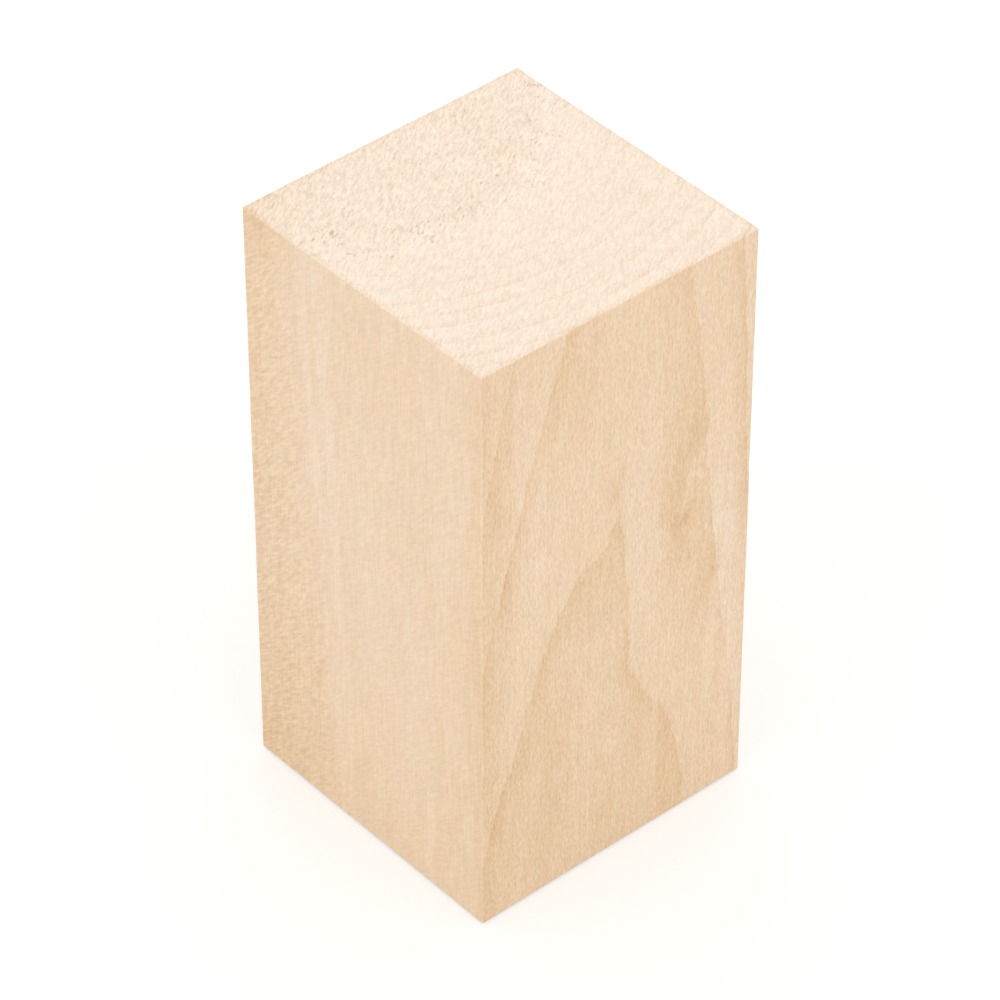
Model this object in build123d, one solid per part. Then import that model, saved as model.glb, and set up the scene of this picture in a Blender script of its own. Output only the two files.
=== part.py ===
from build123d import *

import os

# A basswood carving block: one stick of straight-grained wood, planed square on its four long
# sides and sawn to length across the grain at its two ends. It is a single solid of wood.
#
# Units are millimetres. The grain and the long axis run along +Z, and the block stands on one
# end. The origin is the centre of that lower end, so the four long sides face -X, +X, -Y and +Y.

# ---- driving sizes ---------------------------------------------------------------------------
WIDTH = 50.8  # across the grain, along X: 2 in
DEPTH = 50.8  # across the grain, along Y: 2 in
LENGTH = 101.6  # along the grain, along Z: 4 in
LONG_ARRIS_RADIUS = 0.4  # easing of the four edges that run with the grain
END_ARRIS_RADIUS = 0.3  # easing of the four edges round each sawn end

NODE_FOLDER = "parts"


def squared_stick():
    """The wood planed to its cross-section and cut to length, with sharp edges."""
    return Box(WIDTH, DEPTH, LENGTH, align=(Align.CENTER, Align.CENTER, Align.MIN))


def ease_long_edges(stick):
    """Takes the sharpness off the four edges that run with the grain."""
    return fillet(stick.edges().filter_by(Axis.Z), LONG_ARRIS_RADIUS)


def ease_end_edges(stick):
    """Takes the sharpness off the edges round the two sawn ends."""
    ends = stick.faces().sort_by(Axis.Z)
    lower_end, upper_end = ends[0], ends[-1]
    return fillet(lower_end.edges() + upper_end.edges(), END_ARRIS_RADIUS)


def carving_block():
    """The finished block, in its own frame."""
    return ease_end_edges(ease_long_edges(squared_stick()))


os.makedirs(NODE_FOLDER, exist_ok=True)
export_step(carving_block(), f"{NODE_FOLDER}/carving_block.step")
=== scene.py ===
# %% [markdown]
# # A basswood carving block
#
# The object is one stick of straight-grained basswood, 2 x 2 x 4 in, planed square on its four long
# sides and sawn across the grain at both ends. It has no joints and nothing is fixed to it, so the
# lesson is about two things: a plain shape that still has real arrises, and a wood that is the same
# wood on all six sides. We work in metres, and the block stands on one end with its grain along Z.

import math

import bmesh
import bpy
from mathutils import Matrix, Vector


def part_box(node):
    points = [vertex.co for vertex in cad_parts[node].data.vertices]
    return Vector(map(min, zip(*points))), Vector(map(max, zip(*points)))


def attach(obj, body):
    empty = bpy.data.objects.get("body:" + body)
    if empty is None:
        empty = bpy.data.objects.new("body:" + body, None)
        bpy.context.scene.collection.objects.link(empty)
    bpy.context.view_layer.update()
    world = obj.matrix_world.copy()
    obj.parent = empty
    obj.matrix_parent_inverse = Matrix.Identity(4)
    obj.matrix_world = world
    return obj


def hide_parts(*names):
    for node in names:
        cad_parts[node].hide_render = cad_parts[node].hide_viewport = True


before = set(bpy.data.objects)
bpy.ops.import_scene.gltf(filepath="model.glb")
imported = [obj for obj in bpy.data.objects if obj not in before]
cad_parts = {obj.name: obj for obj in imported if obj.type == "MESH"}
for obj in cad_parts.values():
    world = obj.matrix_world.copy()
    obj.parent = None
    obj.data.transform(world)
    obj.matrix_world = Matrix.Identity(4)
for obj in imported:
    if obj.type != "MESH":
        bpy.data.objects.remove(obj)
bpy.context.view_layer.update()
low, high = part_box("carving_block")
size = high - low
print("block, mm:", [round(1000 * side, 2) for side in size])

# %% [markdown]
# ## Two small helpers
#
# Everything below is made of nodes, for the shape as well as for the wood. One helper adds a node
# and fills its sockets, either in their order or by their names. The other turns a colour that is
# written as on a paint chart into the linear numbers that a renderer works in. Most of the nodes do
# plain sums, so the settings for those sums get short names first.

# %% Helpers
PLUS = {"operation": "ADD"}
MINUS = {"operation": "SUBTRACT"}
TIMES = {"operation": "MULTIPLY"}
TIMES_PLUS = {"operation": "MULTIPLY_ADD"}
OVER = {"operation": "DIVIDE"}
SCALED = {"operation": "SCALE"}
DOT = {"operation": "DOT_PRODUCT"}
DISTANCE = {"operation": "DISTANCE"}
UNSIGNED = {"operation": "ABSOLUTE"}
METRES = 0.001  # one millimetre


def add(tree, kind, settings, sockets):
    """Adds a node, sets its settings and fills its sockets with values or other nodes' outputs.

    sockets is a list in the order of the sockets in use, or a dictionary by name. Returns the
    node's first output in use, which is all that most nodes have.
    """
    node = tree.nodes.new(kind)
    for name, value in settings.items():
        setattr(node, name, value)
    in_use = [socket for socket in node.inputs if socket.enabled]
    if isinstance(sockets, dict):
        pairs = [(next(s for s in in_use if s.name == name), sockets[name]) for name in sockets]
    else:
        pairs = list(zip(in_use, sockets))
    for socket, value in pairs:
        if isinstance(value, bpy.types.NodeSocket):
            tree.links.new(value, socket)
        else:
            socket.default_value = value
    return next((socket for socket in node.outputs if socket.enabled), None)


def linear(hex_colour):
    """The linear red, green, blue and alpha of an sRGB colour written as #RRGGBB."""
    parts = [int(hex_colour[start : start + 2], 16) / 255 for start in (1, 3, 5)]
    return [p / 12.92 if p <= 0.04045 else ((p + 0.055) / 1.055) ** 2.4 for p in parts] + [1.0]


print("helpers ready; pale basswood in linear light:", [round(c, 3) for c in linear("#F1D5B5")])

# %% [markdown]
# ## How the tree grew
#
# A block of wood is cut out of a trunk, so its figure isn't drawn on its faces. It is what each cut
# shows of the yearly rings, which are long cones, one inside another, round the pith. We could paint
# each side by itself, but then the lines wouldn't meet at the arrises. So we describe the trunk
# once, as a distance from the pith, and let the six faces cut it: arcs on the sawn ends, an arched
# cathedral on the flat-sawn front, and quiet straight lines on the quarter-sawn left and right.
#
# The pith of this stick lies just behind its back face and leans a little. The rings widen towards
# the foot, and here and there something bent them: a bud, a bruise, a pin knot.

# %% The trunk
PITH_BEHIND = 30.0  # mm from the block's middle to the pith, towards the back
PITH_AT_FOOT = -8.5  # mm, where the pith is from left to right at the foot
PITH_LEAN = 0.10  # mm to the right for each mm of height
TAPER = 0.056  # mm that a ring narrows for each mm of height
MIDDLE_HEIGHT = 64.5  # mm, the height at which the radii below are meant

# The radius of each year's last wood, from the pith outwards. No two years are alike.
RING_RADII = (
    3.0, 7.2, 11.6, 15.4, 19.6, 23.2, 26.2, 29.6, 33.0, 36.4,
    39.4, 42.4, 45.9, 48.9, 51.5, 55.15, 58.6, 61.3, 64.2, 67.4,
)  # fmt: skip
WIDEST = 70.0  # mm, past the last ring

# Where the rings are bent: the middle of the bend, its reach along X, Y and Z, and how far it
# pushes them, all in mm. A plus pushes a ring back towards the pith.
BENDS = (
    ((4.5, -25.0, 33.0), (6.5, 22.0, 12.7), 1.10),
    ((27.0, -25.0, 0.0), (14.0, 24.0, 34.0), -2.30),
    ((4.8, -25.0, 54.0), (4.2, 20.0, 11.0), 0.42),
    ((0.2, -25.0, 60.0), (1.7, 14.0, 16.0), -0.30),
    ((-5.0, -25.0, 59.0), (3.0, 14.0, 6.5), 0.20),
    ((14.5, -25.0, 65.0), (2.4, 7.0, 4.0), 0.38),
    ((12.0, -25.0, 57.0), (3.0, 7.0, 6.0), -0.30),
)

# Two kinds of noise on the rings: the size of its blots and how far it moves a ring, all in mm.
WANDER_SIZE, WANDER = (14.0, 14.0, 60.0), 0.9  # each ring strays a little on its way up
FEATHER_SIZE, FEATHER = (0.9, 0.9, 4.0), 0.56  # and its edge is feathered

ring_widths = [outer - inner for inner, outer in zip(RING_RADII, RING_RADII[1:])]
print("rings:", len(RING_RADII), "- the widest year, mm:", round(max(ring_widths), 1))

# %% [markdown]
# ### Swells, clouds and sways
#
# Nothing that grows is regular, so four tools push a number about, here and in the wood further on.
# A swell pushes in one place and dies away round it. A cloud is soft noise of a known size. A sway
# is a cloud that pushes as far one way as the other. A total adds up all that push one number.

# %% Tools that push a number about
OFF_THE_LATTICE = (0.65, 0.42, 0.93)  # radians, an odd turn about each axis


def swell(tree, place, middle, reach):
    """A soft bump, 1 in the middle and falling to 0 past its reach, as a bell curve does."""
    away = add(tree, "ShaderNodeVectorMath", MINUS, [place, middle])
    steps = add(tree, "ShaderNodeVectorMath", OVER, [away, reach])
    squared = add(tree, "ShaderNodeVectorMath", DOT, [steps, steps])
    falling = add(tree, "ShaderNodeMath", TIMES, [squared, -1.0])
    return add(tree, "ShaderNodeMath", {"operation": "EXPONENT"}, [falling])


def cloud(tree, place, stretch, detail=2.0, roughness=0.5):
    """Smooth noise from 0 to 1, whose blots are about as large as stretch, in mm along X, Y and Z.

    Noise is made on a lattice, which shows as a faint cross-hatch on a face that lies along it, so
    the place is turned away from the lattice after it is squeezed.
    """
    squeezed = add(tree, "ShaderNodeVectorMath", OVER, [place, stretch])
    turn = {"Vector": squeezed, "Rotation": OFF_THE_LATTICE}
    turned = add(tree, "ShaderNodeVectorRotate", {"rotation_type": "EULER_XYZ"}, turn)
    recipe = {"Vector": turned, "Scale": 1.0, "Detail": detail, "Roughness": roughness}
    return add(tree, "ShaderNodeTexNoise", {"noise_dimensions": "3D"}, recipe)


def sway(tree, place, stretch, amount, detail=2.0, roughness=0.5):
    """A cloud that pushes by up to plus or minus half the amount."""
    noise = cloud(tree, place, stretch, detail, roughness)
    return add(tree, "ShaderNodeMath", TIMES_PLUS, [noise, amount, -amount / 2])


def total(tree, amounts):
    """The sum of several outputs."""
    result = amounts[0]
    for amount in amounts[1:]:
        result = add(tree, "ShaderNodeMath", PLUS, [result, amount])
    return result


print("tools ready: swell, cloud, sway and total")

# %% [markdown]
# ### From a place to its year
#
# The first function measures how far out each point of the wood grew, with the lean, the taper and
# the bends put in. The second looks that radius up in the list of rings. A curve does it in one
# node: it climbs by one step for each ring, and what is left after the last whole step is how far
# the point is through its own year.

# %% Radius and age
def ring_radius(tree, place):
    """How far from the pith each point of the wood grew, in mm. place is in mm too."""
    height = add(tree, "ShaderNodeSeparateXYZ", {}, [place]).node.outputs["Z"]
    pith_x = add(tree, "ShaderNodeMath", TIMES_PLUS, [height, PITH_LEAN, PITH_AT_FOOT])
    pith = add(tree, "ShaderNodeCombineXYZ", {}, [pith_x, PITH_BEHIND, 0.0])
    level = add(tree, "ShaderNodeVectorMath", TIMES, [place, (1.0, 1.0, 0.0)])
    round_pith = add(tree, "ShaderNodeVectorMath", DISTANCE, [level, pith])
    cone = add(tree, "ShaderNodeMath", TIMES_PLUS, [height, TAPER, -TAPER * MIDDLE_HEIGHT])
    parts = [round_pith, cone]
    for middle, reach, amount in BENDS:
        bump = swell(tree, place, middle, reach)
        parts.append(add(tree, "ShaderNodeMath", TIMES, [bump, amount]))
    parts.append(sway(tree, place, WANDER_SIZE, WANDER))
    parts.append(sway(tree, place, FEATHER_SIZE, FEATHER, detail=4.0, roughness=0.6))
    return total(tree, parts)


def ring_age(tree, radius):
    """How far through its year each point grew: 0 in the first wood, 1 in the last and darkest."""
    share = add(tree, "ShaderNodeMath", OVER, [radius, WIDEST])
    years = add(tree, "ShaderNodeFloatCurve", {}, {"Value": share})
    curve = years.node.mapping.curves[0]
    curve.points[0].location = (0.0, 0.0)
    curve.points[1].location = (1.0, 1.0)
    steps = len(RING_RADII) + 1
    for year, outer in enumerate(RING_RADII, start=1):
        point = curve.points.new(outer / WIDEST, year / steps)
        point.handle_type = "VECTOR"
    years.node.mapping.update()
    count = add(tree, "ShaderNodeMath", TIMES, [years, float(steps)])
    return add(tree, "ShaderNodeMath", {"operation": "FRACT"}, [count])


print("pith at the top, mm from the middle:", round(PITH_AT_FOOT + PITH_LEAN * size.z / METRES, 1))

# %% [markdown]
# ## The shape
#
# The real block was ripped and planed to a square stick, then cut to length. A plain cube would be
# wrong in two ways. Its arrises would be knife sharp, where wood always breaks to a tiny round, and
# its faces would be perfectly flat, where a planer leaves a faint ripple and a saw leaves a coarse
# end. A bevel modifier could round it, but not unevenly, so Geometry Nodes make the whole block.
#
# The tree starts from a box of fine cells. It slides the outer rows close together, so that even a
# tiny arris has cells enough to be round. Then it rounds the corners by one rule: find the nearest
# point of a slightly smaller box, and stand one radius away from it. At last it sinks every point
# inwards by up to a tenth of a millimetre, so that nothing is ever proud of the true size.

# %% The sizes of the shape
SIZES = {
    "Size": ("NodeSocketVector", tuple(size)),
    "Arris Radius": ("NodeSocketFloat", 0.00022),
    "Cells Across": ("NodeSocketInt", 100),
    "Cells Along": ("NodeSocketInt", 150),
    "Wood": ("NodeSocketMaterial", None),
}
FLAT_SHARE = 0.92  # of the cells from the middle to an arris lie on the flat, the rest round it
ARRIS_ROOM = 1.6  # the rows by the arris span this many radii, because the radius varies

shape = bpy.data.node_groups.new("carving block shape", "GeometryNodeTree")
shape.interface.new_socket("Geometry", in_out="OUTPUT", socket_type="NodeSocketGeometry")
keys = {}
for name, (kind, _) in SIZES.items():
    keys[name] = shape.interface.new_socket(name, in_out="INPUT", socket_type=kind).identifier
given = shape.nodes.new("NodeGroupInput").outputs
print("shape inputs:", list(keys))

# %% [markdown]
# ### The box of cells and its map
#
# When this model leaves Blender, its colours are painted on a picture, and each part of the surface
# needs its own place there. The six faces of a block unfold by themselves: six charts in three
# columns and two rows, one for each way that a face can look. We store the map before the box is
# rounded, because at that time each cell still looks in exactly one of six directions.

# %% The box, and which way each cell looks
rows_across = add(shape, "ShaderNodeMath", PLUS, [given["Cells Across"], 1.0])
rows_along = add(shape, "ShaderNodeMath", PLUS, [given["Cells Along"], 1.0])
rows = [rows_across, rows_across, rows_along]
box = add(shape, "GeometryNodeMeshCube", {}, [given["Size"]] + rows)
place = add(shape, "GeometryNodeInputPosition", {}, [])
normal = add(shape, "GeometryNodeInputNormal", {}, [])
by_face = {"domain": "FACE", "data_type": "FLOAT_VECTOR"}
looks = add(shape, "GeometryNodeFieldOnDomain", by_face, [normal])
upright = add(shape, "ShaderNodeSeparateXYZ", {}, [looks]).node.outputs["Z"]
upright = add(shape, "ShaderNodeMath", UNSIGNED, [upright])
is_end = add(shape, "ShaderNodeMath", {"operation": "GREATER_THAN"}, [upright, 0.5])
choice = [is_end, (0.0, 0.0, 1.0), (0.0, 1.0, 0.0)]
up = add(shape, "ShaderNodeMix", {"data_type": "VECTOR"}, choice)
right = add(shape, "ShaderNodeVectorMath", {"operation": "CROSS_PRODUCT"}, [up, looks])
print("cells across and along:", SIZES["Cells Across"][1], SIZES["Cells Along"][1])

# %% The map
CHART_FILL = 0.98  # of each chart's width and height is used, which leaves a gap between charts
CHART_MIDDLE = 0.5
CHARTS = (3.0, 2.0, 1.0)  # columns and rows, and nothing in the third direction

within = []
for direction in (right, up):
    reach = add(shape, "ShaderNodeVectorMath", DOT, [place, direction])
    extent = add(shape, "ShaderNodeVectorMath", DOT, [given["Size"], direction])
    extent = add(shape, "ShaderNodeMath", UNSIGNED, [extent])
    part = add(shape, "ShaderNodeMath", OVER, [reach, extent])
    within.append(add(shape, "ShaderNodeMath", TIMES_PLUS, [part, CHART_FILL, CHART_MIDDLE]))
column = add(shape, "ShaderNodeVectorMath", DOT, [looks, (1.0, 0.0, 2.0)])
column = add(shape, "ShaderNodeMath", UNSIGNED, [column])
row = add(shape, "ShaderNodeVectorMath", DOT, [looks, (-1.0, -1.0, 1.0)])
row = add(shape, "ShaderNodeMath", {"operation": "GREATER_THAN"}, [row, 0.0])
chart = add(shape, "ShaderNodeCombineXYZ", {}, [column, row, 0.0])
within = add(shape, "ShaderNodeCombineXYZ", {}, [within[0], within[1], 0.0])
unfolded = add(shape, "ShaderNodeVectorMath", PLUS, [chart, within])
unfolded = add(shape, "ShaderNodeVectorMath", OVER, [unfolded, CHARTS])
by_corner = {"data_type": "FLOAT2", "domain": "CORNER"}
stored = {"Geometry": box, "Name": "OFBake", "Value": unfolded}
mapped = add(shape, "GeometryNodeStoreNamedAttribute", by_corner, stored)
print("six charts, each", round(1 / CHARTS[0], 3), "by", 1 / CHARTS[1], "of the picture")

# %% [markdown]
# ### The arrises
#
# Rounding is a rule that works for any box. Clamp a point into a core, a box that is smaller by one
# radius, and the way from the clamped point to the real one is the way that the surface looks. On a
# flat that way is straight out, along an arris it turns through a quarter circle, and at a corner
# through an eighth of a ball. The radius itself wanders along each arris, with a few small chips,
# because a planer's knife and a saw both pluck a little wood away.

# %% Slide the outer rows together
half_size = add(shape, "ShaderNodeVectorMath", SCALED, {"Vector": given["Size"], "Scale": 0.5})
room = add(shape, "ShaderNodeMath", TIMES, [given["Arris Radius"], ARRIS_ROOM])
flat = add(shape, "ShaderNodeVectorMath", MINUS, [half_size, room])
way_out = add(shape, "ShaderNodeVectorMath", UNSIGNED, [place])
way_out = add(shape, "ShaderNodeVectorMath", OVER, [way_out, half_size])
which_side = add(shape, "ShaderNodeVectorMath", {"operation": "SIGN"}, [place])
nothing = (0.0, 0.0, 0.0)
flat_end = (FLAT_SHARE, FLAT_SHARE, FLAT_SHARE)
everything = (1.0, 1.0, 1.0)
by_vector = {"data_type": "FLOAT_VECTOR", "clamp": True}
inner = [way_out, nothing, flat_end, nothing, flat]
inner = add(shape, "ShaderNodeMapRange", by_vector, inner)
outer = [way_out, flat_end, everything, nothing, room]
outer = add(shape, "ShaderNodeMapRange", by_vector, outer)
graded = add(shape, "ShaderNodeVectorMath", PLUS, [inner, outer])
graded = add(shape, "ShaderNodeVectorMath", TIMES, [graded, which_side])
print("the rows by an arris span, mm:", round(SIZES["Arris Radius"][1] / METRES * ARRIS_ROOM, 2))

# %% Round the arrises
WEAR_SIZE = (9.0, 9.0, 14.0)  # mm, how far apart an arris is more and less worn
WEAR_LEAST, WEAR_MOST = 0.75, 1.35  # times the radius
CHIP_SIZE = (2.1, 2.1, 3.4)  # mm
CHIP_MORE = 0.9  # times the radius is added where a chip broke off

to_mm = {"Vector": graded, "Scale": 1 / METRES}
graded_mm = add(shape, "ShaderNodeVectorMath", SCALED, to_mm)
worn = cloud(shape, graded_mm, WEAR_SIZE)
worn = add(shape, "ShaderNodeMapRange", {}, [worn, 0.3, 0.7, WEAR_LEAST, WEAR_MOST])
chips = cloud(shape, graded_mm, CHIP_SIZE, detail=1.0)
chips = add(shape, "ShaderNodeMapRange", {}, [chips, 0.66, 0.80, 0.0, CHIP_MORE])
rounding = add(shape, "ShaderNodeMath", PLUS, [worn, chips])
radius = add(shape, "ShaderNodeMath", TIMES, [rounding, given["Arris Radius"]])
core = add(shape, "ShaderNodeVectorMath", MINUS, [half_size, radius])
far_core = add(shape, "ShaderNodeVectorMath", SCALED, {"Vector": core, "Scale": -1.0})
nearest = add(shape, "ShaderNodeVectorMath", {"operation": "MAXIMUM"}, [graded, far_core])
nearest = add(shape, "ShaderNodeVectorMath", {"operation": "MINIMUM"}, [nearest, core])
outward = add(shape, "ShaderNodeVectorMath", MINUS, [graded, nearest])
outward = add(shape, "ShaderNodeVectorMath", {"operation": "NORMALIZE"}, [outward])
step = add(shape, "ShaderNodeVectorMath", SCALED, {"Vector": outward, "Scale": radius})
rounded = add(shape, "ShaderNodeVectorMath", PLUS, [nearest, step])
lift = add(shape, "ShaderNodeVectorMath", TIMES, [half_size, (0.0, 0.0, 1.0)])
standing = add(shape, "ShaderNodeVectorMath", PLUS, [rounded, lift])
print("arris radius, mm:", round(SIZES["Arris Radius"][1] / METRES, 2), "and up to twice in a chip")

# %% [markdown]
# ### The relief
#
# Planed basswood is silky: the planer's ripple is a few hundredths of a millimetre deep, and soft
# early wood sinks a little below the hard late wood. The sawn ends are coarser. The saw went across
# at a slant and left shallow ridges, and bundles of cut fibre were plucked out between them. Both
# reliefs are real shape here, and only what is finer than a cell is left to the material.

# %% The relief of the sawn ends
RING_DEPTH = 0.016  # mm from late wood down to early wood
SAW_PITCH = 1.9  # mm between two ridges of the saw
SAW_TRAVEL = math.radians(48)  # the way it went over the end, across its ridges
SAW_WANDER_SIZE, SAW_WANDER = (9.0, 9.0, 9.0), 3.0  # mm, how uneven the ridges are
SAW_DEPTH = 0.022  # mm
STROKE_WAY = math.radians(38)  # its teeth comb the fibres from left to right and a little back
PLUCK_SIZE = (2.4, 1.1, 3.0)  # mm: along the stroke, across it, down the fibre
PLUCK_DEPTH = 0.070  # mm, where whole bundles of fibres came away

to_mm = {"Vector": standing, "Scale": 1 / METRES}
block_mm = add(shape, "ShaderNodeVectorMath", SCALED, to_mm)
age = ring_age(shape, ring_radius(shape, block_mm))
softness = add(shape, "ShaderNodeMapRange", {}, [age, 0.5, 1.0, RING_DEPTH, 0.0])
saw_way = (math.cos(SAW_TRAVEL), math.sin(SAW_TRAVEL), 0.0)
travel = add(shape, "ShaderNodeVectorMath", DOT, [block_mm, saw_way])
wobble = sway(shape, block_mm, SAW_WANDER_SIZE, SAW_WANDER)
travel = add(shape, "ShaderNodeMath", PLUS, [travel, wobble])
travel = add(shape, "ShaderNodeMath", TIMES, [travel, 2 * math.pi / SAW_PITCH])
ridge = add(shape, "ShaderNodeMath", {"operation": "SINE"}, [travel])
ridge = add(shape, "ShaderNodeMapRange", {}, [ridge, -1.0, 1.0, 0.0, SAW_DEPTH])
comb_turn = {"Vector": block_mm, "Rotation": (0.0, 0.0, -STROKE_WAY)}
combed = add(shape, "ShaderNodeVectorRotate", {"rotation_type": "EULER_XYZ"}, comb_turn)
plucked = cloud(shape, combed, PLUCK_SIZE, detail=3.0, roughness=0.6)
plucked = add(shape, "ShaderNodeMapRange", {}, [plucked, 0.36, 0.70, 0.0, PLUCK_DEPTH])
end_depth = total(shape, [ridge, plucked, softness])
print("deepest on an end, mm:", round(SAW_DEPTH + PLUCK_DEPTH + RING_DEPTH, 3))

# %% [markdown]
# ### The planed sides, and the end of the tree
#
# A planer's knives strike one after another, so a side is a row of very shallow hollows. That could
# be a bump in the material, but a bump can't change how light glides over a whole face, so it is
# shape too. The two reliefs meet on the round of the arris. The tree ends by making its instances
# real and giving them the wood, because an export keeps only what is real.

# %% The relief of the sides, and the finished shape
RIPPLE_SIZE = (16.0, 16.0, 5.5)  # mm
PLANER_DEPTH = 0.030  # mm of ripple and waviness along the sides

ripple = cloud(shape, block_mm, RIPPLE_SIZE, detail=1.0)
ripple = add(shape, "ShaderNodeMapRange", {}, [ripple, 0.25, 0.75, 0.0, PLANER_DEPTH])
side_depth = total(shape, [ripple, softness])
endwise = add(shape, "ShaderNodeSeparateXYZ", {}, [outward]).node.outputs["Z"]
endwise = add(shape, "ShaderNodeMath", UNSIGNED, [endwise])
depth = add(shape, "ShaderNodeMix", {"data_type": "FLOAT"}, [endwise, side_depth, end_depth])
inwards = add(shape, "ShaderNodeMath", TIMES, [depth, -METRES])
sink = add(shape, "ShaderNodeVectorMath", SCALED, {"Vector": outward, "Scale": inwards})
final = add(shape, "ShaderNodeVectorMath", PLUS, [standing, sink])
moved = add(shape, "GeometryNodeSetPosition", {}, {"Geometry": mapped, "Position": final})
smooth = add(shape, "GeometryNodeSetShadeSmooth", {}, {"Geometry": moved})
real = add(shape, "GeometryNodeRealizeInstances", {}, {"Geometry": smooth})
clad = add(shape, "GeometryNodeSetMaterial", {}, {"Geometry": real, "Material": given["Wood"]})
add(shape, "NodeGroupOutput", {}, [clad])
print("shape nodes:", len(shape.nodes))

# %% [markdown]
# ## The wood
#
# The material is bare basswood (American lime), planed and never finished: matt, creamy, with a
# hardly visible grain. It gives the eye three things. A slow change from cream to tan across each
# ring, which breaks off sharply where the year ended. A fine fibre, which is mostly light and shade
# and brings little colour of its own. And on the ends, open pores and a cream that is painted paler
# than the sides, as painted light for the light that falls on the top end from above.
#
# So the wood is made of two numbers. The first is its tone, a place on one scale from the palest
# cream to a light brown, which can't wander off to a colour that basswood doesn't have. The second
# is its shade, which makes that colour darker or lighter and leaves its hue alone.

# %% The two scales of tones
SIDE_TONES = ((0.00, "#F8E2C9"), (0.30, "#F1D5B5"), (0.62, "#E7C49B"), (1.00, "#C99769"))
# painted light: the ends' tones are painted paler than the sides', for the light that falls on the
# top end from above
END_TONES_PAINTED_PALER = ((0.00, "#FBEDDE"), (0.30, "#F6E3CF"), (0.62, "#ECD2B5"), (1.00, "#CA9D76"))


def set_stops(ramp, stops):
    """Puts the stops of a colour ramp where a list of (position, colour) says."""
    elements = ramp.node.color_ramp.elements
    while len(elements) < len(stops):
        elements.new(0.5)
    for element, (position, colour) in zip(elements, stops):
        element.position = position
        element.color = colour


print("tones:", len(SIDE_TONES), "for the sides and", len(END_TONES_PAINTED_PALER), "for the ends")

# %% [markdown]
# ### Where each point is, and which way it looks
#
# The pattern is laid in the wood, so it reads the place in the block, in millimetres. Two soft
# switches say what kind of cut we are on: one is 1 on the sawn ends, the other is 1 on the two
# quarter-sawn sides. They change over on the round of the arris, so that no edge of paint shows.

# %% Place and direction
TURN_FROM, TURN_TO = 0.55, 0.85  # how squarely a face must look that way

wood = bpy.data.materials.new("bare planed basswood")
wood.use_nodes = True
grain = wood.node_tree
grain.nodes.clear()
coordinates = add(grain, "ShaderNodeTexCoord", {}, []).node.outputs
to_mm = {"Vector": coordinates["Object"], "Scale": 1 / METRES}
wood_mm = add(grain, "ShaderNodeVectorMath", SCALED, to_mm)
facing = add(grain, "ShaderNodeSeparateXYZ", {}, [coordinates["Normal"]]).node.outputs
upwards = add(grain, "ShaderNodeMath", UNSIGNED, [facing["Z"]])
sideways = add(grain, "ShaderNodeMath", UNSIGNED, [facing["X"]])
soft_step = {"interpolation_type": "SMOOTHSTEP"}
on_end = add(grain, "ShaderNodeMapRange", soft_step, [upwards, TURN_FROM, TURN_TO])
radial = add(grain, "ShaderNodeMapRange", soft_step, [sideways, TURN_FROM, TURN_TO])
print("material:", wood.name)

# %% [markdown]
# ### The rings
#
# Within a year the wood starts pale and open and ends tan and dense. The outer rings of this stick
# show it strongly and the inner ones hardly at all, and along each ring it comes and goes. The
# quarter-sawn sides cut the rings square, so there they are quieter still.

# %% The rings
LATE_WOOD = ((0.00, 0.16), (0.05, 0.00), (0.45, 0.14), (0.76, 0.36), (0.93, 0.66), (0.985, 1.00))
UNEVEN_SIZE = (4.5, 4.5, 15.0)  # mm
UNEVEN_LEAST, UNEVEN_MOST = 0.60, 1.20  # times the strength of a ring
SIDE_RINGS = (44.0, 60.0, 0.13, 0.27)  # from one radius to another in mm, the tone goes from, to
END_RINGS = (32.0, 46.0, 0.04, 0.21)  # the same on the ends
QUARTERED_RINGS = 0.26  # share of that on the quarter-sawn sides

radius_mm = ring_radius(grain, wood_mm)
year_part = ring_age(grain, radius_mm)
late = add(grain, "ShaderNodeValToRGB", {}, {"Fac": year_part})
set_stops(late, [(position, (amount, amount, amount, 1.0)) for position, amount in LATE_WOOD])
uneven = cloud(grain, wood_mm, UNEVEN_SIZE)
uneven = add(grain, "ShaderNodeMapRange", {}, [uneven, 0.36, 0.64, UNEVEN_LEAST, UNEVEN_MOST])
late = add(grain, "ShaderNodeMath", TIMES, [late, uneven])
side_strength = add(grain, "ShaderNodeMapRange", {}, [radius_mm, *SIDE_RINGS])
quartered = add(grain, "ShaderNodeMapRange", {}, [radial, 0.0, 1.0, 1.0, QUARTERED_RINGS])
side_strength = add(grain, "ShaderNodeMath", TIMES, [side_strength, quartered])
side_rings = add(grain, "ShaderNodeMath", TIMES, [late, side_strength])
end_strength = add(grain, "ShaderNodeMapRange", {}, [radius_mm, *END_RINGS])
end_rings = add(grain, "ShaderNodeMath", TIMES, [late, end_strength])
print("the rings push the tone by up to", SIDE_RINGS[3], "on the sides,", END_RINGS[3], "on the ends")

# %% [markdown]
# ### The heartwood
#
# Inside a certain radius lies the heartwood, which is a shade warmer. Its edge isn't a ring: it is
# ragged, and it widens towards the foot, so it gets an axis of its own. Just outside it run two lean
# years, paler than the rest, which show as straight pale lines on the quarter-sawn sides.

# %% The heartwood and the pale years
HEART_AXIS = (-2.0, 34.0, 0.0)  # mm, the middle of the heartwood, which stands upright
HEART_RADIUS = 35.5  # mm at the foot
HEART_TAPER = 0.052  # mm that it narrows for each mm of height
HEART_FADE = 6.5  # mm to each side of its edge, over which it passes into sapwood
HEART_RAGGED_SIZE, HEART_RAGGED = (5.0, 5.0, 24.0), 12.0  # mm
HEART_TONE = 0.07
PALE_YEARS = (36.4, 38.6)  # mm, their radii round the same axis, at the foot
PALE_WIDTH = 0.8  # mm
PALE_STRAY_SIZE, PALE_STRAY = (3.0, 3.0, 26.0), 2.2  # mm
PALE_TONE = -0.10

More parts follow.
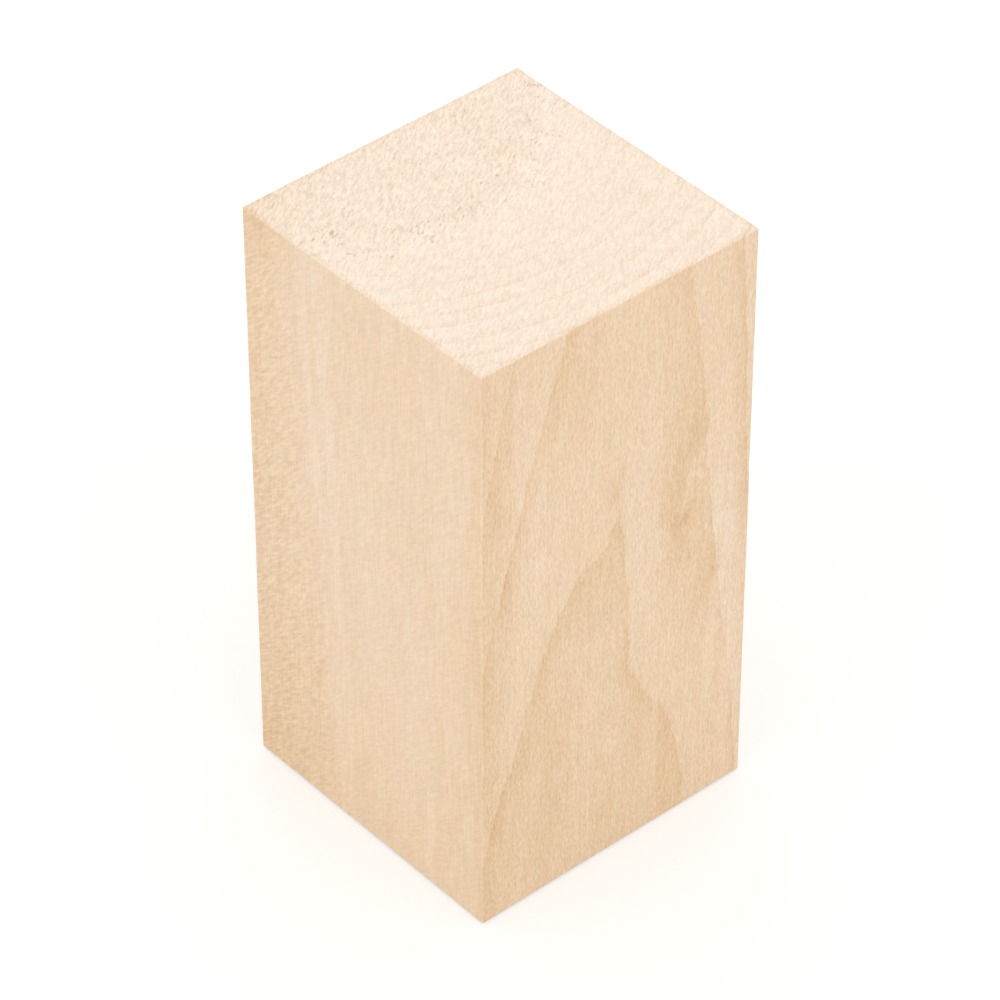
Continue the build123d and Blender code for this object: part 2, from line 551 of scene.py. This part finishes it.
level_mm = add(grain, "ShaderNodeVectorMath", TIMES, [wood_mm, (1.0, 1.0, 0.0)])
from_axis = add(grain, "ShaderNodeVectorMath", DISTANCE, [level_mm, HEART_AXIS])
climb = add(grain, "ShaderNodeSeparateXYZ", {}, [wood_mm]).node.outputs["Z"]
climb = add(grain, "ShaderNodeMath", TIMES, [climb, HEART_TAPER])
stray = sway(grain, wood_mm, PALE_STRAY_SIZE, PALE_STRAY, detail=3.0)
pale_mm = total(grain, [from_axis, climb, stray])
pale_mm = add(grain, "ShaderNodeCombineXYZ", {}, [pale_mm, 0.0, 0.0])
pale = []
for pale_year in PALE_YEARS:
    lean_year = swell(grain, pale_mm, (pale_year, 0.0, 0.0), (PALE_WIDTH, 1.0, 1.0))
    pale.append(add(grain, "ShaderNodeMath", TIMES, [lean_year, PALE_TONE]))
ragged = sway(grain, wood_mm, HEART_RAGGED_SIZE, HEART_RAGGED, detail=4.0)
heart_mm = total(grain, [from_axis, climb, ragged])
fade = [heart_mm, HEART_RADIUS + HEART_FADE, HEART_RADIUS - HEART_FADE]
heart = add(grain, "ShaderNodeMapRange", soft_step, fade)
heart_tone = add(grain, "ShaderNodeMath", TIMES, [heart, HEART_TONE])
heart_at_top = HEART_RADIUS - HEART_TAPER * size.z / METRES
print("heartwood radius, mm:", HEART_RADIUS, "at the foot,", round(heart_at_top, 1), "at the top")

# %% [markdown]
# ### Stains and clouds
#
# No board is one even colour. Beside the pin knot the front carries brown smudges of mineral stain
# with a pale swirl between them, and other stretches are a little darker or paler. The foot is
# painted darker, as painted shade that grows towards the bottom, and the two left arrises carry
# painted shade along their length. We place these one by one, and stray their edges by a few
# millimetres of noise, so that none looks like a round dot. Under them lie clouds of three sizes,
# down to thin bands that run nearly the whole length of the grain.

# %% The stains and the painted shade
STAIN_AND_SHADE_STRAY = (8.0, 8.0, 22.0)  # mm, how ragged the stains and the painted shade are
STRAY_SIZE = (3.0, 3.0, 7.0)  # mm, the size of their rags

# The middle of each stain or patch of painted shade and its reach, in mm along X, Y and Z, and how
# far it pushes the tone.
STAINS_AND_PAINTED_SHADE = (
    ((12.6, -25.0, 54.5), (2.3, 8.0, 4.2), 0.28),  # four smudges round the pin knot
    ((10.8, -25.0, 62.0), (3.0, 9.0, 13.0), 0.20),
    ((13.5, -25.0, 72.0), (2.2, 9.0, 6.0), 0.14),
    ((16.3, -25.0, 41.0), (1.8, 8.0, 5.0), 0.18),
    ((14.6, -25.0, 66.2), (1.5, 7.0, 2.4), -0.34),  # the pale swirl between them
    ((5.0, -25.0, 58.0), (3.0, 8.0, 24.0), -0.06),  # pale and dark stretches of the front
    ((20.8, -25.0, 52.0), (1.8, 8.0, 18.0), -0.20),
    ((23.2, -25.0, 22.0), (1.6, 8.0, 18.0), -0.16),
    ((-0.3, -25.0, 68.5), (1.8, 7.0, 6.0), 0.19),
    ((-16.0, -25.0, 66.0), (3.4, 8.0, 16.0), -0.05),
    ((-7.0, -25.0, 93.0), (4.0, 8.0, 10.0), 0.12),
    ((-14.0, -25.0, 26.0), (5.0, 10.0, 18.0), 0.12),
    ((-4.0, -25.0, 10.0), (16.0, 14.0, 22.0), 0.07),
    ((-25.0, 25.0, 0.0), (15.0, 15.0, 26.0), 0.15),  # painted shade: along the two left arrises and towards the foot
    ((-25.0, 25.0, 50.0), (5.0, 5.0, 80.0), 0.06),
    ((-25.0, -25.0, 50.0), (4.0, 2.8, 80.0), 0.15),
    ((0.0, 0.0, -8.0), (70.0, 70.0, 26.0), 0.12),
    ((-25.0, 24.0, 102.0), (9.0, 7.0, 7.0), 0.20),  # the upper end
    ((-8.0, 26.0, 102.0), (15.0, 2.4, 4.0), 0.16),
    ((10.4, 11.2, 101.0), (2.6, 1.5, 4.0), 0.24),
    ((-1.5, 4.0, 101.0), (6.0, 2.2, 5.0), 0.13),
)

rags = cloud(grain, wood_mm, STRAY_SIZE, detail=3.0).node.outputs["Color"]
rags = add(grain, "ShaderNodeVectorMath", MINUS, [rags, (0.5, 0.5, 0.5)])
rags = add(grain, "ShaderNodeVectorMath", TIMES, [rags, STAIN_AND_SHADE_STRAY])
strayed = add(grain, "ShaderNodeVectorMath", PLUS, [wood_mm, rags])
# real stains, and the painted shade at the foot and along the two left arrises
stains_and_painted_shade = []
for middle, reach, amount in STAINS_AND_PAINTED_SHADE:
    one_mark = swell(grain, strayed, middle, reach)
    stains_and_painted_shade.append(add(grain, "ShaderNodeMath", TIMES, [one_mark, amount]))
print("stains:", len(stains_and_painted_shade))

# %% The clouds, and the whole large figure with the painted shade
BLOT_SIZE, BLOTS = (9.0, 9.0, 34.0), 0.24  # mm, and how far they swing the tone
PATCH_SIZE, PATCHES = (2.4, 2.4, 6.0), 0.13
BAND_SIZE, BANDS = (1.5, 1.5, 48.0), 0.17

blots = sway(grain, wood_mm, BLOT_SIZE, BLOTS, detail=3.0)
patches = sway(grain, wood_mm, PATCH_SIZE, PATCHES)
bands = sway(grain, wood_mm, BAND_SIZE, BANDS)
# the large figure also carries the painted shade at the foot and along the two left arrises
large_figure_and_shade = total(grain, pale + [heart_tone, blots, patches, bands] + stains_and_painted_shade)
print("wood nodes so far:", len(grain.nodes))

# %% [markdown]
# ### Fibre and ray flecks on the sides
#
# Basswood fibre is far thinner than a tenth of a millimetre, which no picture of a whole block can
# show, so it is drawn as streaks and dashes about a third of a millimetre wide. Where a side is
# quarter-sawn, as the left and right are, the knife also meets the rays, thin sheets of cells that
# run from the pith outwards. It tears them a little, and they show as short leaning strokes, most of
# all in the heartwood.

# %% The fine texture of the sides
STREAK_SIZE, STREAKS = (0.34, 0.34, 5.0), 0.42  # mm, and how far they swing the shade
DASH_SIZE, DASHES = (0.32, 0.32, 0.85), 0.94
QUARTERED_DASHES = 0.34  # share of the dashes on the quarter-sawn sides
FLECK_LEAN = math.radians(42)  # from the level
FLECK_SIZE, FLECKS = (2.4, 2.0, 0.44), 1.0  # mm: through the wood, along the stroke, across it
FLECK_FROM = 0.35  # how deep in the fade of the heartwood they begin to grow
SAP_FLECKS, HEART_FLECKS = 0.38, 0.84  # share of them in the sapwood and in the heartwood

streaks = sway(grain, wood_mm, STREAK_SIZE, STREAKS, roughness=0.6)
dashes = sway(grain, wood_mm, DASH_SIZE, DASHES, roughness=0.6)
dash_share = add(grain, "ShaderNodeMapRange", {}, [radial, 0.0, 1.0, 1.0, QUARTERED_DASHES])
dashes = add(grain, "ShaderNodeMath", TIMES, [dashes, dash_share])
fleck_turn = {"Vector": wood_mm, "Rotation": (FLECK_LEAN, 0.0, 0.0)}
leaning = add(grain, "ShaderNodeVectorRotate", {"rotation_type": "EULER_XYZ"}, fleck_turn)
flecks = sway(grain, leaning, FLECK_SIZE, FLECKS, detail=1.0)
fleck_share = [heart, FLECK_FROM, 1.0, SAP_FLECKS, HEART_FLECKS]
fleck_share = add(grain, "ShaderNodeMapRange", {}, fleck_share)
fleck_share = add(grain, "ShaderNodeMath", TIMES, [fleck_share, radial])
flecks = add(grain, "ShaderNodeMath", TIMES, [flecks, fleck_share])
side_fine = total(grain, [streaks, dashes, flecks])
print("ray flecks lean", round(math.degrees(FLECK_LEAN)), "degrees")

# %% [markdown]
# ### Cut fibre and pores on the ends
#
# The saw leaves the cut fibres standing like a very short brush, combed one way by its teeth, so the
# ends get short strokes nearly along the saw's travel, with granules between them. The vessels show
# as open pores, which basswood has everywhere. The eye catches only the torn ones, and those gather
# along the edge of the heartwood. They are drawn several times too coarse, to show at all.

# %% Strokes and granules on the ends
STROKE_SIZE, STROKES = (1.4, 0.36, 4.0), 0.85  # mm: along the stroke, across it, down the fibre
GRANULE_SIZE, GRANULES = (0.40, 0.40, 4.0), 0.62
SAP_BRUSH, HEART_BRUSH = 0.85, 1.15  # how coarse they are in the sapwood and in the heartwood

hatch_turn = {"Vector": wood_mm, "Rotation": (0.0, 0.0, -STROKE_WAY)}
hatched = add(grain, "ShaderNodeVectorRotate", {"rotation_type": "EULER_XYZ"}, hatch_turn)
strokes = sway(grain, hatched, STROKE_SIZE, STROKES, detail=1.0)
granules = sway(grain, wood_mm, GRANULE_SIZE, GRANULES, roughness=0.7)
coarseness = add(grain, "ShaderNodeMapRange", {}, [heart, 0.0, 1.0, SAP_BRUSH, HEART_BRUSH])
brushed = total(grain, [strokes, granules])
brushed = add(grain, "ShaderNodeMath", TIMES, [brushed, coarseness])
print("strokes run at", round(math.degrees(STROKE_WAY)), "degrees")

# %% Pores on the ends
PORE_SIZE = (1.25, 0.50, 6.0)  # mm: along the stroke, across it, down the fibre
SAP_PORES, HEART_PORES = 0.06, 0.26  # how dark they are in the sapwood and in the heartwood
TORN_BAND = 0.32  # of the heartwood's fade, to each side of its edge
TORN_MORE = 0.60  # how much darker the torn pores are
CLUMP_SIZE = (3.2, 3.2, 30.0)  # mm, the clumps that they gather in

pores = cloud(grain, hatched, PORE_SIZE, detail=1.0)
open_pores = add(grain, "ShaderNodeMapRange", {}, [pores, 0.56, 0.76])
torn = add(grain, "ShaderNodeMath", {"operation": "COMPARE"}, [heart, 0.5, TORN_BAND])
clumps = cloud(grain, wood_mm, CLUMP_SIZE)
clumps = add(grain, "ShaderNodeMapRange", {}, [clumps, 0.42, 0.62, 0.25, 1.0])
torn = add(grain, "ShaderNodeMath", TIMES, [torn, clumps])
pore_share = add(grain, "ShaderNodeMapRange", {}, [heart, 0.0, 1.0, SAP_PORES, HEART_PORES])
pore_share = add(grain, "ShaderNodeMath", TIMES_PLUS, [torn, TORN_MORE, pore_share])
open_pores = add(grain, "ShaderNodeMath", TIMES, [open_pores, pore_share])
end_fine = total(grain, [brushed, open_pores])
print("pores drawn up to", PORE_SIZE[1], "mm wide")

# %% [markdown]
# ### Colour
#
# The sides and the ends share the large figure with its painted shade, and each has its own scale of
# tones; the ends' scale is painted paler, as painted light from above. The fine texture pushes the
# tone a little too, because the shadow between two fibres is warmer than the fibre. Round each end
# runs a narrow tan rim, darker towards the arris.

# %% The colour of the sides
BASE_TONE = 0.25  # where on the scale plain wood lies
SIDE_TINT = 0.46  # how far the fine texture pushes the tone
QUARTERED_TONE = -0.06  # the quarter-sawn sides are a little paler

side_tint = add(grain, "ShaderNodeMath", TIMES, [side_fine, SIDE_TINT])
paler = add(grain, "ShaderNodeMath", TIMES, [radial, QUARTERED_TONE])
side_tone = total(grain, [large_figure_and_shade, side_rings, side_tint, paler])
side_tone = add(grain, "ShaderNodeMath", PLUS, [side_tone, BASE_TONE])
side_colour = add(grain, "ShaderNodeValToRGB", {}, {"Fac": side_tone})
set_stops(side_colour, [(position, linear(tone)) for position, tone in SIDE_TONES])
print("plain wood on a side lies at", BASE_TONE, "on its scale")

# %% The colour of the ends
RIM_WIDTH = 1.1  # mm
RIM_TONE = 0.16
RIM_RAGGED_SIZE, RIM_RAGGED = (2.5, 2.5, 9.0), 1.2  # mm
END_FIGURE = 0.65  # share of the large figure and its painted shade that an end shows
END_TINT = 0.40  # how far the fine texture pushes the tone

from_middle = add(grain, "ShaderNodeVectorMath", UNSIGNED, [wood_mm])
from_middle = add(grain, "ShaderNodeSeparateXYZ", {}, [from_middle]).node.outputs
outmost = [from_middle["X"], from_middle["Y"]]
outmost = add(grain, "ShaderNodeMath", {"operation": "MAXIMUM"}, outmost)
rim_ragged = sway(grain, wood_mm, RIM_RAGGED_SIZE, RIM_RAGGED)
outmost = add(grain, "ShaderNodeMath", PLUS, [outmost, rim_ragged])
half_width = size.x / METRES / 2
rim = [outmost, half_width - RIM_WIDTH, half_width, 0.0, RIM_TONE]
rim = add(grain, "ShaderNodeMapRange", soft_step, rim)
end_figure_and_shade = add(grain, "ShaderNodeMath", TIMES, [large_figure_and_shade, END_FIGURE])
end_tint = add(grain, "ShaderNodeMath", TIMES, [end_fine, END_TINT])
end_tone = total(grain, [end_figure_and_shade, end_rings, end_tint, rim])
end_tone = add(grain, "ShaderNodeMath", PLUS, [end_tone, BASE_TONE])
# the ends' colour, from the scale that is painted paler as painted light from above
end_colour_painted_paler = add(grain, "ShaderNodeValToRGB", {}, {"Fac": end_tone})
set_stops(end_colour_painted_paler, [(position, linear(tone)) for position, tone in END_TONES_PAINTED_PALER])
print("the rim starts", round(half_width - RIM_WIDTH, 1), "mm from the middle")

# %% [markdown]
# ### Shade and hue
#
# Now the shade goes over the colour: the fine texture takes some of the light away, the same from
# red, green and blue. Last comes a drift of hue, because no two spots of real wood are quite as pink
# or as yellow as each other.

# %% Shade and hue
SHADE = 0.33  # how much light the fine texture takes, on a scale where 1 is all of it
HUE_DRIFT = 0.058
HUE_SIZE = (3.4, 3.4, 8.0)  # mm

colour = add(grain, "ShaderNodeMix", {"data_type": "RGBA"}, [on_end, side_colour, end_colour_painted_paler])
side_shade = add(grain, "ShaderNodeMath", TIMES, [side_fine, SHADE])
end_shade = add(grain, "ShaderNodeMath", TIMES, [end_fine, SHADE])
shade = add(grain, "ShaderNodeMix", {"data_type": "FLOAT"}, [on_end, side_shade, end_shade])
light_left = add(grain, "ShaderNodeMath", MINUS, [1.0, shade])
shaded = add(grain, "ShaderNodeVectorMath", SCALED, {"Vector": colour, "Scale": light_left})
hue = cloud(grain, wood_mm, HUE_SIZE, detail=3.0).node.outputs["Color"]
drift = (HUE_DRIFT, HUE_DRIFT, HUE_DRIFT)
undrifted = (1.0 - HUE_DRIFT / 2,) * 3
hue = add(grain, "ShaderNodeVectorMath", TIMES_PLUS, [hue, drift, undrifted])
wood_colour = add(grain, "ShaderNodeVectorMath", TIMES, [shaded, hue])
print("each of red, green and blue drifts by up to", round(HUE_DRIFT / 2, 3), "of itself")

# %% [markdown]
# ### The surface
#
# A bump carries what is finer than the cells of the shape, with its heights in millimetres. Bare
# wood has an index of refraction of about 1.5 and scatters widely, with a slight sheen only on dense
# late wood.

# %% Roughness, bump and the finished material
SIDE_BUMP = 0.030  # mm of fibre
END_BUMP = 0.060  # mm of cut fibre ends
PALE_ROUGH, DARK_ROUGH = 0.68, 0.56  # pale early wood and dark late wood on the sides
END_ROUGH = 0.82

side_rough = add(grain, "ShaderNodeMapRange", {}, [side_tone, 0.2, 0.8, PALE_ROUGH, DARK_ROUGH])
rough = add(grain, "ShaderNodeMix", {"data_type": "FLOAT"}, [on_end, side_rough, END_ROUGH])
side_height = add(grain, "ShaderNodeMath", TIMES, [side_fine, -SIDE_BUMP])
end_height = add(grain, "ShaderNodeMath", TIMES, [end_fine, -END_BUMP])
height = add(grain, "ShaderNodeMix", {"data_type": "FLOAT"}, [on_end, side_height, end_height])
bump = add(grain, "ShaderNodeBump", {}, {"Strength": 1.0, "Distance": METRES, "Height": height})
bare = {"Base Color": wood_colour, "Roughness": rough, "IOR": 1.5, "Specular IOR Level": 0.35}
surface = add(grain, "ShaderNodeBsdfPrincipled", {}, {**bare, "Normal": bump})
add(grain, "ShaderNodeOutputMaterial", {}, {"Surface": surface})
print("wood nodes:", len(grain.nodes))

# %% [markdown]
# ## Make the block
#
# The tree is put on an empty mesh, given its sizes, and turned into a plain mesh once. After that
# it is an ordinary piece, which stands where the CAD solid stood and takes its place.

# %% The piece
block = bpy.data.objects.new("basswood_block", bpy.data.meshes.new("basswood_block"))
bpy.context.scene.collection.objects.link(block)
maker = block.modifiers.new("carving block shape", "NODES")
maker.node_group = shape
for name, (_, value) in SIZES.items():
    maker[keys[name]] = wood if name == "Wood" else value
ready = block.evaluated_get(bpy.context.evaluated_depsgraph_get())
finished = bpy.data.meshes.new_from_object(ready)
block.modifiers.remove(maker)
finished.materials.pop(index=0)  # the empty slot that the box of cells brought with it
block.data = finished
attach(block, "root")
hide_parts("carving_block")

check = bmesh.new()
check.from_mesh(finished)
open_edges = sum(not edge.is_manifold for edge in check.edges)
print("triangles:", sum(len(face.verts) - 2 for face in check.faces), "open edges:", open_edges)
print("volume, cm3:", round(check.calc_volume(signed=True) * 1e6, 2))
print("maps:", [layer.name for layer in finished.uv_layers], "materials:", len(finished.materials))
check.free()

# %% [markdown]
# ## The studio
#
# A product like this is shown on plain white under soft light. The floor is a pale sheet. For the
# camera alone it also glows faintly, which lifts it to white while the block's soft shadow stays,
# and that glow never reaches the block. The world is white to the camera and a little dimmer to
# everything else, so that it fills the sides without washing them out.

# %% The floor
FLOOR_SIDE = 6.0  # m
FLOOR_DROP = 0.0002  # m below the block's foot, so that the two don't share a plane
FLOOR_GLOW = 0.46


def seen_directly(tree):
    """1 for what the camera sees, also in a mirror or through glass, and 0 for light that fills."""
    ray = add(tree, "ShaderNodeLightPath", {}, []).node.outputs
    either = [ray["Is Camera Ray"], ray["Is Glossy Ray"]]
    either = add(tree, "ShaderNodeMath", {"operation": "MAXIMUM"}, either)
    any_ray = [either, ray["Is Transmission Ray"]]
    return add(tree, "ShaderNodeMath", {"operation": "MAXIMUM"}, any_ray)


sheet = bpy.data.meshes.new("floor")
far = FLOOR_SIDE / 2
corners = [(-far, -far), (far, -far), (far, far), (-far, far)]
sheet.from_pydata([(x, y, -FLOOR_DROP) for x, y in corners], [], [(0, 1, 2, 3)])
floor = bpy.data.objects.new("floor", sheet)
bpy.context.scene.collection.objects.link(floor)
paper = bpy.data.materials.new("matt white background paper")
paper.use_nodes = True
paper_tree = paper.node_tree
paper_tree.nodes.clear()
glow = add(paper_tree, "ShaderNodeMath", TIMES, [seen_directly(paper_tree), FLOOR_GLOW])
lit = add(paper_tree, "ShaderNodeBsdfDiffuse", {}, {"Color": linear("#C8C6C3")})
shine = add(paper_tree, "ShaderNodeEmission", {}, {"Strength": glow})
both = add(paper_tree, "ShaderNodeAddShader", {}, [lit, shine])
add(paper_tree, "ShaderNodeOutputMaterial", {}, {"Surface": both})
sheet.materials.append(paper)
print("floor, m:", FLOOR_SIDE, "square")

# %% The world
FILL = 0.92  # strength of the world's light

world = bpy.data.worlds.new("studio")
bpy.context.scene.world = world
world.use_nodes = True
air = world.node_tree
air.nodes.clear()
strength = add(air, "ShaderNodeMapRange", {}, [seen_directly(air), 0.0, 1.0, FILL, 1.0])
white = {"Color": linear("#FFFFFF"), "Strength": strength}
sky = add(air, "ShaderNodeBackground", {}, white)
add(air, "ShaderNodeOutputWorld", {}, {"Surface": sky})
print("the world fills at", FILL, "and shows at 1")

# %% [markdown]
# ## Lamps
#
# Four large soft boxes do the rest: one from each side of the camera, a slightly weaker one behind,
# and a very weak one overhead, because the sawn end already takes its light from the whole sky and is
# painted paler as well. Each is set by the level that it should add on a face that looks straight at
# it, where 1 would show a colour exactly as it is written.

# %% Soft boxes
BLOCK_MIDDLE = (low + high) / 2
BOX_SIDE = 0.90  # m
SOFT_BOXES = (
    ("overhead", (-0.15, -0.25, 1.30), 0.03),
    ("left", (-1.30, -0.10, 0.40), 0.19),
    ("front", (0.00, -1.35, 0.36), 0.19),
    ("behind", (0.85, 1.10, 0.36), 0.15),
)

for name, spot, level in SOFT_BOXES:
    lamp = bpy.data.lights.new(name, "AREA")
    away = Vector(spot) - BLOCK_MIDDLE
    lamp.shape = "SQUARE"
    lamp.size = BOX_SIDE
    lamp.energy = level * math.pi**2 * away.length_squared
    holder = bpy.data.objects.new(name, lamp)
    holder.location = spot
    holder.rotation_euler = away.to_track_quat("Z", "Y").to_euler()
    bpy.context.scene.collection.objects.link(holder)
    print(name, "watts:", round(lamp.energy, 2))

# %% [markdown]
# ## Camera
#
# The camera looks down on a corner of the block from a little over half a metre up, through a long
# lens, so that the uprights lean in only slightly. Standard view keeps the colours as written.

# %% Camera and view
EYE = (-0.3855, -0.4434, 0.5435)  # m
AIM = Vector((0.0, 0.0, 0.0505))  # m, the middle of the block as the lens sees it
LENS = 191.0  # mm
NEAREST = 0.01  # m, so that a close view isn't cut open

eye = bpy.data.objects.new("camera", bpy.data.cameras.new("camera"))
eye.location = EYE
eye.rotation_euler = (eye.location - AIM).to_track_quat("Z", "Y").to_euler()
eye.data.lens = LENS
eye.data.clip_start = NEAREST
bpy.context.scene.collection.objects.link(eye)
bpy.context.scene.camera = eye
bpy.context.scene.view_settings.view_transform = "Standard"
print("camera is", round((eye.location - AIM).length, 3), "m away")
